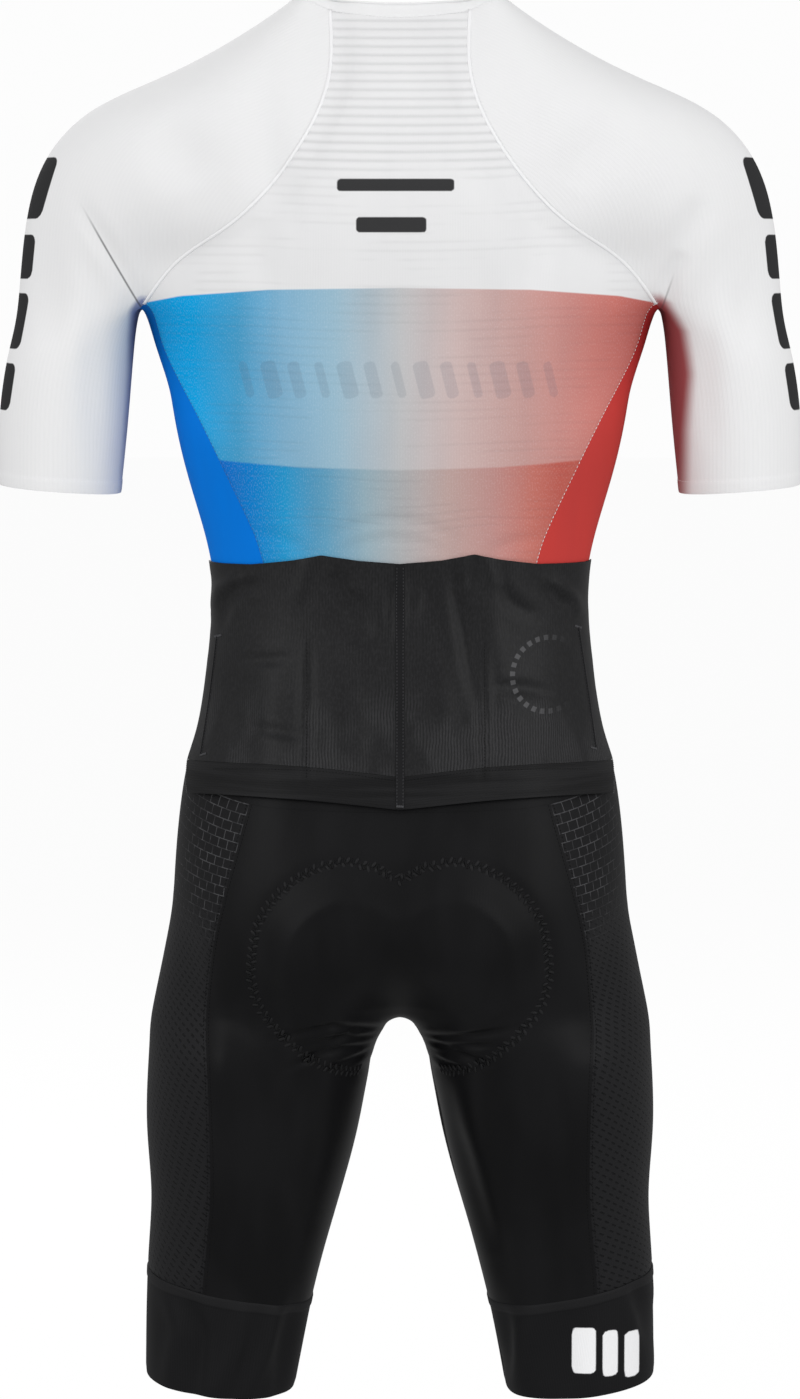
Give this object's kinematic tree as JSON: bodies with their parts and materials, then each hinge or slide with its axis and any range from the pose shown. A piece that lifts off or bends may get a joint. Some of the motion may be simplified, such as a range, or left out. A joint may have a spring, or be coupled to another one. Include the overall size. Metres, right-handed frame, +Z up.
{
  "type": "cycling skinsuit",
  "caption": "Short-sleeved one-piece cycling skinsuit in its worn shape with nobody in it, with a hanging tail over the lower back, leg cuffs, a seat pad and a front zip.",
  "frame": {"origin": "middle of the neck opening, level with the top of the collar, where the wearer's neck and shoulders carry the suit", "axes": "+Z up, +Y towards the wearer's back, +X towards the wearer's left"},
  "size_m": [0.5704, 0.2467, 0.9987],
  "materials": {
    "white_knit": "matte fine knit",
    "blue_knit": "matte fine knit",
    "red_knit": "matte fine knit",
    "black_knit": "smooth stretch knit with a soft sheen",
    "charcoal_knit": "embossed stretch knit",
    "pad_foam": "brushed microfibre over foam",
    "zip_tape": "woven tape",
    "zip_coil": "moulded coil",
    "zip_metal": "satin dark coating"
  },
  "bodies": {
    "suit": {"collar": "white_knit", "back_panel": "white_knit", "front_left": "white_knit", "front_right": "white_knit", "sleeve_left": "white_knit", "sleeve_right": "white_knit", "side_panel_left": "blue_knit", "side_panel_right": "red_knit", "waistband_back": "black_knit", "tail_panel": "black_knit", "tail_hem": "black_knit", "tail_strip": "charcoal_knit", "shorts_back_left": "black_knit", "shorts_back_right": "black_knit", "shorts_front_left": "black_knit", "shorts_front_right": "black_knit", "shorts_side_left": "charcoal_knit", "shorts_side_right": "charcoal_knit", "cuff_left": "charcoal_knit", "cuff_right": "charcoal_knit", "seat_pad": "pad_foam", "zip_tape": "zip_tape", "zip_coil": "zip_coil", "zip_slider": "zip_metal"},
    "zip_pull": {"zip_pull": "zip_metal"}
  },
  "joints": [
    {"name": "zip_pull_hinge", "type": "hinge", "parent": "suit", "child": "zip_pull", "pos_m": [0, -0.07046, -0.05141], "axis": [-1, 0, 0], "range_deg": [0, 160]}
  ]
}
